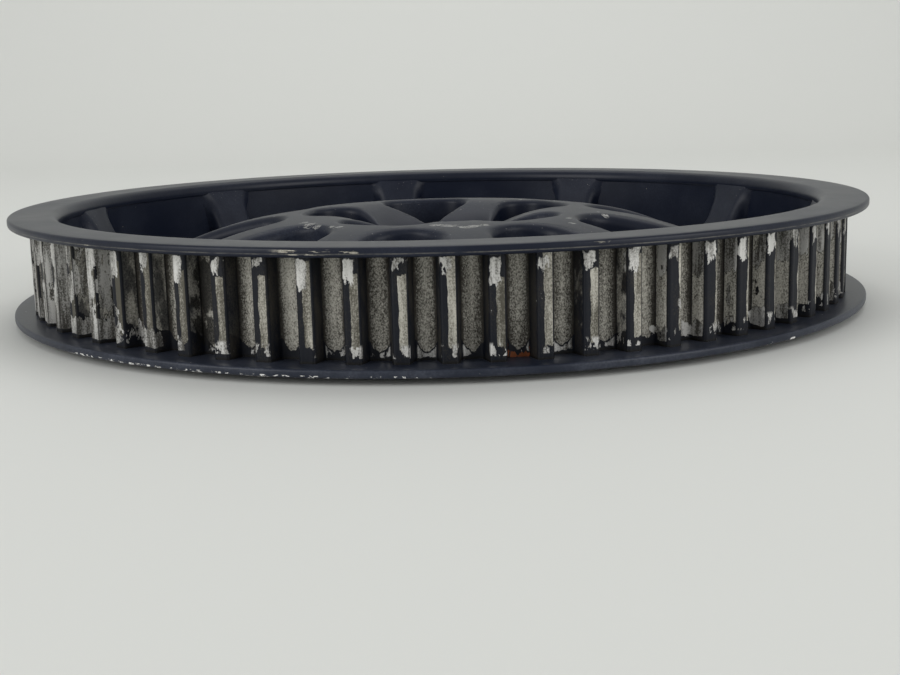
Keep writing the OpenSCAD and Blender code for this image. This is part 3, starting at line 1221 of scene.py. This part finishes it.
@dataclass(frozen=True)
class GuardPaint(SatinBlackPaint):
    """Satin black paint on a turned steel ring, chipped to bright metal along its lower edge."""

    # Paint and dust colours lighter than the casting's: besides the ring's own paint and dust they paint the
    # reflection of the teeth that its top face shows under the flange
    colour: str = "#1d222e"
    dusty: str = "#5a5e68"
    bare: str = "#f4f3f0"
    bare_dark: str = "#b5b4b0"
    metal_share: float = 0.2
    # Bearing and width, in degrees, of the chipped stretches, and how much is gone
    chipped: tuple = (
        (-29.0, 19.0, 0.7), (-9.0, 9.0, 0.4), (4.6, 0.5, 0.5), (38.1, 0.5, 1.0), (42.3, 0.5, 1.0),
        (150.0, 25.0, 0.5), (-120.0, 14.0, 0.4),
    )

    def bare_marks(self, at: Surface) -> Value:
        """Short chips strung along the lower outer edge.

        Args:
            at: surface that is painted.

        Returns:
            1 where bare metal shows.
        """
        edge = at.radius.then(Node.FADE, 161.2, 161.5) * at.z.then(Node.FADE, 2.75, 2.9, 1.0, 0.0)
        chip = at.noise(0.9, (0.5, 0.5, 1.0), 3.0, 27.0)
        marks = self.specks(at)
        for bearing, width, gone in self.chipped:
            here = abs(at.bearing - bearing).then(Node.FADE, width * 0.8, width, 1.0, 0.0)
            marks = marks | edge * here * chip.then(Node.FADE, 0.66 - 0.14 * gone, 0.675 - 0.14 * gone)
        return marks


@dataclass
class ToothSurface(Surface):
    """Surface of the teeth: the place on a tooth, and the noises that all its wear shares."""

    sizes: Sizes = field(default_factory=Sizes)

    def __post_init__(self) -> None:
        """Work out the place across a tooth, the zones of the teeth and the shared noises."""
        super().__post_init__()
        s = self.sizes
        pitch = 360 / s.teeth
        count = self.bearing / pitch - (s.first_tooth_deg + 90) / pitch
        tooth = round(count)
        # Millimetres from the nearest tooth's middle, and from the nearest groove's
        self.across = (count - tooth) * s.belt_pitch
        self.from_groove = s.belt_pitch / 2 - abs(self.across)
        # Two chance numbers for each tooth, from 0 to 1
        self.luck = tooth.then(Node.LUCK)
        self.luck_too = (tooth + 0.5).then(Node.LUCK)
        # Grain of the casting, drawn as fine as the photograph shows it
        self.stipple = self.noise(0.42, (1.0, 1.0, 0.7), 2.0, 2.0)
        self.streak = self.noise(2.5, (1.0, 1.0, 0.12), shift=31.0)
        self.patch = self.noise(6.0, (1.0, 1.0, 0.42), 5.0, 11.0)
        self.ragged = self.noise(3.0, (1.0, 1.0, 0.5), 4.0, 23.0)
        self.wander = self.ragged - 0.5
        self.floor = self.radius.then(Node.FADE, s.root_r + 0.5, s.root_r + 1.1, 1.0, 0.0)
        self.crown = self.radius.then(Node.FADE, s.tip_r - 1.0, s.tip_r - 0.6)
        flank = self.radius.then(Node.FADE, s.root_r + 0.9, s.root_r + 1.3)
        self.flank = flank * self.radius.then(Node.FADE, s.tip_r - 1.2, s.tip_r - 0.7, 1.0, 0.0)
        # Round the left side the paint is off in sheets; round the right the belt has rubbed the
        # flanks that it pushes
        about = self.bearing + self.wander * 30.0
        self.left = about.then(Node.FADE, -44.0, -38.0, 1.0, 0.0) * about.then(Node.FADE, -125.0, -115.0)
        self.right = about.then(Node.FADE, 15.0, 25.0)
        self.pushed = self.flank * self.right * self.across.then(Node.FADE, -0.5, -1.5)
        # The worn floors end in a round foot above the guard ring, flatter round the right side
        bow = self.from_groove * self.from_groove * (0.28 - self.right * 0.19)
        self.above_foot = self.z - (7.2 + bow + self.wander * 5.0)


@dataclass(frozen=True)
class WornTeeth:
    """Painted cast aluminium that the belt has worn bare: dark flanks, pale lands, stippled floors."""

    sizes: Sizes
    paint: str = "#0c1019"
    # Greasy film on the flanks, and the dirty metal of the floors
    film: str = "#2f2c27"
    floor_dark: str = "#3b3832"
    floor_light: str = "#c3c0b5"
    # Polished metal with grime in its grain on the lands
    land_dark: str = "#56534a"
    land_light: str = "#c0bdb2"
    # Clean metal where the paint has flaked off, also the colour of the painted highlight under the flange
    silver: str = "#cdccc8"
    silver_dark: str = "#55534e"
    # Near black: soot, and also the painted shade in the crevice above the guard ring and the painted shadow line
    # round each flake
    soot: str = "#12110e"
    rust: str = "#7d4420"
    # x, y, z and radius of the sooty places and of the rust
    sooty: tuple = ((-68.6, -131.7, 21.0, 8.0), (-69.4, -131.2, 12.0, 8.0), (-68.0, -132.1, 29.0, 6.0))
    rusty: tuple = (
        (18.0, -147.6, 8.0, 1.5), (18.2, -147.6, 6.0, 1.8), (20.4, -147.3, 4.9, 1.8),
        (22.6, -147.0, 4.8, 1.8), (24.6, -146.6, 5.2, 2.0), (26.0, -146.4, 6.8, 1.9),
        (26.4, -146.3, 8.8, 1.5),
    )

    def lay_floors(self, at: ToothSurface, colour: tuple) -> tuple[Value, Value]:
        """Lay the stippled floors of the grooves over the paint, darker to their sides.

        Args:
            at: surface of the teeth.
            colour: colour of the paint.

        Returns:
            The colour so far, and 1 where a floor is worn.
        """
        worn = at.floor * at.above_foot.then(Node.FADE, -0.15, 0.15)
        side = (at.from_groove + at.wander * 1.6).then(Node.FADE, 2.2, 3.1)
        tone = at.stipple * 0.75 + at.noise(18.0, (1.0, 1.0, 0.6), 3.0, 13.0) * 0.4 + at.streak * 0.25
        metal = (tone - at.from_groove * 0.05).tint(0.46, 0.88, self.floor_dark, self.floor_light)
        metal = (side * 0.85).then(Node.LAYER, metal, linear(self.film))
        return worn.then(Node.LAYER, colour, metal), worn

    def lay_flanks(self, at: ToothSurface, colour: Value) -> tuple[Value, Value]:
        """Lay a greasy film on the flanks, and bare metal on those that the belt has rubbed.

        Args:
            at: surface of the teeth.
            colour: colour so far.

        Returns:
            The colour so far, and 1 where a flank is rubbed.
        """
        greasy = (at.patch * 0.6 + at.stipple * 0.4).then(Node.FADE, 0.42, 0.62)
        colour = (at.flank * greasy * 0.9).then(Node.LAYER, colour, linear(self.film))
        brushed = at.flank * at.across.then(Node.FADE, 0.5, 1.5)
        brushed = brushed * at.bearing.then(Node.FADE, -34.0, -22.0, 1.0, 0.0)
        brushed = brushed * at.patch.then(Node.FADE, 0.34, 0.5, 0.15, 0.8)
        rubbed = at.pushed * at.ragged.then(Node.FADE, 0.34, 0.37) | brushed
        rubbed = rubbed * at.above_foot.then(Node.FADE, -0.15, 0.15)
        metal = (at.stipple * 0.75 + at.streak * 0.5).tint(0.38, 0.8, self.floor_dark, self.floor_light)
        return rubbed.then(Node.LAYER, colour, metal), rubbed

    def lay_lands(self, at: ToothSurface, colour: Value) -> tuple[Value, Value]:
        """Lay the polished lands, where the paint stays on one side of each tooth.

        Args:
            at: surface of the teeth.
            colour: colour so far.

        Returns:
            The colour so far, and 1 where a land is worn.
        """
        darkening = (at.patch * 0.5 + at.stipple * 0.5).then(Node.FADE, 0.5, 0.65, 0.0, 0.6)
        colour = (at.crown * darkening).then(Node.LAYER, colour, linear(self.film))
        # Round the right side only a thin line along one edge of each tooth is bare
        inner = at.bearing.then(Node.FADE, 21.0, 28.0, -0.5, 1.3)
        worn = at.crown * (at.across + at.wander * 1.6 - inner).then(Node.FADE, 0.0, 0.15)
        worn = worn * at.across.then(Node.FADE, 1.9, 2.1, 1.0, 0.0)
        worn = worn * (at.z + at.wander * 9.0).then(Node.FADE, 8.4, 8.7)
        worn = worn * (at.z + at.wander * 4.0 - at.luck * 9.0).then(Node.FADE, 29.4, 29.6, 1.0, 0.0)
        tone = at.stipple * 0.5 + at.streak * 0.6 + at.bearing.then(Node.FADE, -34.0, -6.0, -0.14, 0.0)
        metal = (tone + (at.luck_too - 0.5) * 0.1).tint(0.38, 0.74, self.land_dark, self.land_light)
        return worn.then(Node.LAYER, colour, metal), worn

    def lay_flakes(self, at: ToothSurface, colour: Value) -> tuple[Value, Value]:
        """Lay bright metal where the paint has flaked off, and a partly painted highlight under the flange.

        Args:
            at: surface of the teeth.
            colour: colour so far.

        Returns:
            The colour so far, and 1 where the paint has flaked and along the partly painted highlight under the
            flange.
        """
        # Under the flange, at the foot of the floors, and at the heel of the teeth
        upper = at.crown * (at.z + at.wander * 14.0 - at.luck_too * 6.5).then(Node.FADE, 26.3, 26.7)
        upper = upper * (abs(at.across + 0.6) + at.wander * 4.0).then(Node.FADE, 1.5, 1.8, 1.0, 0.0)
        upper = upper * (at.z + at.wander * 5.0).then(Node.FADE, 34.7, 35.1, 1.0, 0.0)
        foot = at.above_foot.then(Node.FADE, -0.7, -0.4, 1.0, 0.0)
        foot = foot * (at.z + at.wander * 4.0).then(Node.FADE, 5.5, 5.8)
        foot = foot * (at.patch + at.luck * 0.1).then(Node.FADE, 0.5, 0.53)
        foot = foot * (at.from_groove + at.wander * 1.6).then(Node.FADE, 2.7, 3.2, 1.0, 0.0)
        heel = at.crown * at.z.then(Node.FADE, 6.2, 6.5) * at.z.then(Node.FADE, 9.5, 10.5, 1.0, 0.0)
        heel = heel * at.ragged.then(Node.FADE, 0.53, 0.55)
        # In sheets round the left side, and at both ends of the rubbed flanks
        upper_end = at.z.then(Node.FADE, 22.0, 28.0)
        lower_end = at.z.then(Node.FADE, 9.0, 13.0, 1.0, 0.0)
        near = at.bearing.then(Node.FADE, -31.0, -28.0, 1.0, 0.0) * at.z.then(Node.FADE, 10.0, 14.0, 1.0, 0.0)
        need = 0.68 - at.left * 0.21 - at.pushed * (upper_end * 0.22 + 0.05) - near * 0.17
        need = need - at.right * lower_end * (1.0 - at.crown) * 0.22
        lift = at.patch - need - at.z.then(Node.FADE, 6.5, 5.0) * 0.4
        sheets = lift.then(Node.FADE, 0.0, 0.012) * at.z.then(Node.FADE, 5.2, 6.0)
        # A pale broken line ends the worn floors under the flange: partly pale flakes, partly a painted highlight
        # along the fillet under the flange
        brim_flakes_and_highlight = at.floor * (at.z + at.wander * 3.0).then(Node.FADE, 35.2, 35.5)
        brim_flakes_and_highlight = brim_flakes_and_highlight * at.ragged.then(Node.FADE, 0.46, 0.5, 0.0, 0.7)
        bright = upper | foot | heel | sheets | brim_flakes_and_highlight
        tone = at.stipple * 0.35 + at.noise(3.2, (1.0, 1.0, 0.12), 3.0, 37.0) * 0.75
        colour = bright.then(Node.LAYER, colour, tone.tint(0.42, 0.64, self.silver_dark, self.silver))
        # The broken rim of the paint is thick: its shadow is painted as a dark line, in the soot colour, round each
        # flake
        rim = abs(lift + 0.004).then(Node.FADE, 0.003, 0.012, 0.85, 0.0) * (at.left | at.pushed | near)
        return rim.then(Node.LAYER, colour, linear(self.soot)), bright

    def lay_stains(self, at: ToothSurface, colour: Value) -> tuple[Value, Value]:
        """Lay soot, rust where the steel ring sheds water, and painted shade in the corner above the ring.

        Args:
            at: surface of the teeth.
            colour: colour so far.

        Returns:
            The finished colour, and 1 where soot, dark corner lines, rust and painted shade cover the metal.
        """
        soot = at.spots(self.sooty, at.ragged) * at.stipple.then(Node.FADE, 0.4, 0.55, 0.6, 0.95)
        # Dark lines along the corners of the bare teeth
        corner = abs(abs(at.across) - 2.15).then(Node.FADE, 0.1, 0.35, 0.85, 0.0)
        soot = soot | corner * at.left * at.streak.then(Node.FADE, 0.4, 0.48)
        colour = soot.then(Node.LAYER, colour, linear(self.soot))
        rust = at.spots(self.rusty, at.ragged)
        colour = (rust * 0.9).then(Node.LAYER, colour, linear(self.rust))
        # Painted shade: the crevice where the teeth meet the guard ring, darkened in the soot colour over the teeth's
        # lowest millimetre
        darkening = at.z.then(Node.FADE, 4.9, 5.6, 0.85, 0.0) * (1.0 - rust)
        return darkening.then(Node.LAYER, colour, linear(self.soot)), soot | rust | darkening

    def material(self) -> bpy.types.Material:
        """Make the material.

        Returns:
            Paint, worn floors, flanks and lands, flakes and stains, with a painted highlight under the flange and
            painted shade and shadow lines, all placed from the teeth.
        """
        at = ToothSurface("worn_cast_aluminium_teeth", sizes=self.sizes)
        colour, floors = self.lay_floors(at, linear(self.paint))
        colour, flanks = self.lay_flanks(at, colour)
        colour, lands = self.lay_lands(at, colour)
        colour, bright = self.lay_flakes(at, colour)
        colour, dirt = self.lay_stains(at, colour)
        bare = (bright | lands * 0.8 | floors * 0.25) * (1.0 - dirt)
        rough = at.stipple * 0.2 + floors * 0.1 + 0.42
        # The worn metal lies a coat's thickness below the paint, and its floors keep the grain of the sand
        relief = at.stipple * (floors | flanks | 0.15) * 0.45 - (floors | flanks | lands | bright) * 0.75
        return at.finish(colour, bare * 0.7, rough, relief, 0.16)


@dataclass
class Studio:
    """Plain table, backdrop, lamps and the camera at the photograph's viewing angle."""

    # Camera fitted to the outlines of both flanges; its turns about the aim are in radians
    camera_mm: tuple[float, float, float] = (0.0, -523.12, 83.45)
    aim_z_mm: float = 2.0
    lens_mm: float = 53.02
    sensor_mm: float = 36.0
    roll: float = -0.0260551
    yaw: float = 0.00587150
    pitch: float = -0.0365150
    # Table top: its near edge, where the backdrop's sweep begins, the sweep's radius, the
    # backdrop's top and half its width; it lies a hair below the hub face
    table_near_mm: float = -1400.0
    sweep_mm: float = 900.0
    sweep_r_mm: float = 600.0
    backdrop_top_mm: float = 2600.0
    table_half_w_mm: float = 2500.0
    table_drop_mm: float = 0.2
    daylight: str = "#f4f5f7"
    daylight_strength: float = 0.62
    lamp_aim: tuple[float, float, float] = (0.0, 0.0, 0.02)
    # Name, place and side in metres, and power in watts
    lamps: tuple = (
        ("key_softbox", (-1.3, -1.0, 0.6), 1.0, 11.0),
        ("side_softbox", (1.3, -0.9, 0.5), 0.9, 8.0),
        ("top_softbox", (0.1, 0.7, 1.6), 1.2, 7.0),
    )

    def add_camera(self) -> bpy.types.Object:
        """Put the camera where the photograph was taken.

        Returns:
            The camera object.
        """
        place = Vector(self.camera_mm)
        forward = (Vector((0, 0, self.aim_z_mm)) - place).normalized()
        right = Vector((1, 0, 0))
        up = right.cross(forward)
        ahead = forward * math.cos(self.yaw) + right * math.sin(self.yaw)
        side = right * math.cos(self.yaw) - forward * math.sin(self.yaw)
        look = ahead * math.cos(self.pitch) + up * math.sin(self.pitch)
        over = up * math.cos(self.pitch) - ahead * math.sin(self.pitch)
        across = side * math.cos(self.roll) + over * math.sin(self.roll)
        over = over * math.cos(self.roll) - side * math.sin(self.roll)
        data = bpy.data.cameras.new("camera")
        data.lens, data.sensor_width = self.lens_mm, self.sensor_mm
        data.clip_start, data.clip_end = 0.02, 50.0
        camera = bpy.data.objects.new("camera", data)
        rows = Matrix((across, over, -look)).transposed().to_4x4()
        camera.matrix_world = Matrix.Translation(place * MM) @ rows
        bpy.context.scene.collection.objects.link(camera)
        bpy.context.scene.camera = camera
        return camera

    def add_lamp(self, name: str, place: tuple, size: float, power: float) -> None:
        """Add a square softbox that faces the pulley.

        Args:
            name: lamp's name.
            place: where it stands, in metres.
            size: side of the softbox, in metres.
            power: its power in watts.
        """
        data = bpy.data.lights.new(name, "AREA")
        data.size, data.energy = size, power
        lamp = bpy.data.objects.new(name, data)
        lamp.location = place
        towards = Vector(self.lamp_aim) - Vector(place)
        lamp.rotation_euler = towards.to_track_quat("-Z", "Y").to_euler()
        bpy.context.scene.collection.objects.link(lamp)

    def add_table(self) -> None:
        """Add the pale table top that curves up into the backdrop."""
        pile = Pile("table")
        sweep, r, side = self.sweep_mm, self.sweep_r_mm, self.table_half_w_mm
        path = [(self.table_near_mm, 0.0), (sweep, 0.0)] + arc((sweep, r), r, 270, 360, 16)
        path.append((sweep + r, self.backdrop_top_mm))
        rows = [[(x, y, z) for y, z in path] for x in (-side, side)]
        pile.grid(rows, 0, flip=True)
        table = pile.build([Laminate().material()], 60.0)
        table.location.z = -self.table_drop_mm * MM
        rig.stage(table)

    def add_world(self) -> None:
        """Give the room a plain, even light."""
        world = bpy.data.worlds.new("room")
        bpy.context.scene.world = world
        world.use_nodes = True
        back = world.node_tree.nodes["Background"]
        back.inputs["Color"].default_value = linear(self.daylight)
        back.inputs["Strength"].default_value = self.daylight_strength

    def build(self) -> None:
        """Set up the whole studio."""
        self.add_camera()
        self.add_world()
        self.add_table()
        for name, place, size, power in self.lamps:
            self.add_lamp(name, place, size, power)
        bpy.context.scene.view_settings.view_transform = "Standard"


@dataclass(frozen=True)
class Laminate:
    """White laminate table top, matt: an even pale grey with a soft shadow."""

    colour: str = "#d9dad5"
    roughness: float = 0.7

    def material(self) -> bpy.types.Material:
        """Make the table's material.

        Returns:
            A pale matt material.
        """
        made = bpy.data.materials.new("white_laminate")
        made.use_nodes = True
        shader = made.node_tree.nodes["Principled BSDF"]
        shader.inputs["Base Color"].default_value = linear(self.colour)
        shader.inputs["Roughness"].default_value = self.roughness
        return made


def main() -> None:
    """Build the pulley's pieces and the studio, and note the sizes of both models."""
    logging.basicConfig(level=logging.INFO, format="%(name)s: %(message)s")
    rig.load()
    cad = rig.bounds()
    sizes = Sizes()
    finishes = [
        FlangePaint("satin_black_paint_on_rim").material(),
        WebPaint("satin_black_paint_on_web").material(),
        WornTeeth(sizes).material(),
    ]
    casting = Pile("casting_rounded")
    rim = ToothedRim(sizes)
    rim.add_teeth(casting)
    rim.add_turned(casting)
    log.info("rim: %d faces", len(casting.faces))
    web = Web(sizes)
    web.add_spokes(casting)
    web.add_ring(casting)
    web.add_hub(casting)
    thing = casting.build(finishes)
    log.info("casting: %d faces", len(casting.faces))
    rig.ride(thing, "root")
    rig.replaces(thing, "pulley_casting")
    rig.slot(thing, "casting")
    guard = GuardRing(sizes).build(GuardPaint("satin_black_paint_on_steel").material())
    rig.ride(guard, "root")
    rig.replaces(guard, "guard_ring")
    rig.slot(guard, "ring")
    log.info("guard ring done")
    Studio().build()
    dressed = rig.bounds()
    with open(SIZE_FILE, "w") as f:
        json.dump({"cad": [list(c) for c in cad], "visual": [list(c) for c in dressed]}, f)


if __name__ == "__main__":
    main()
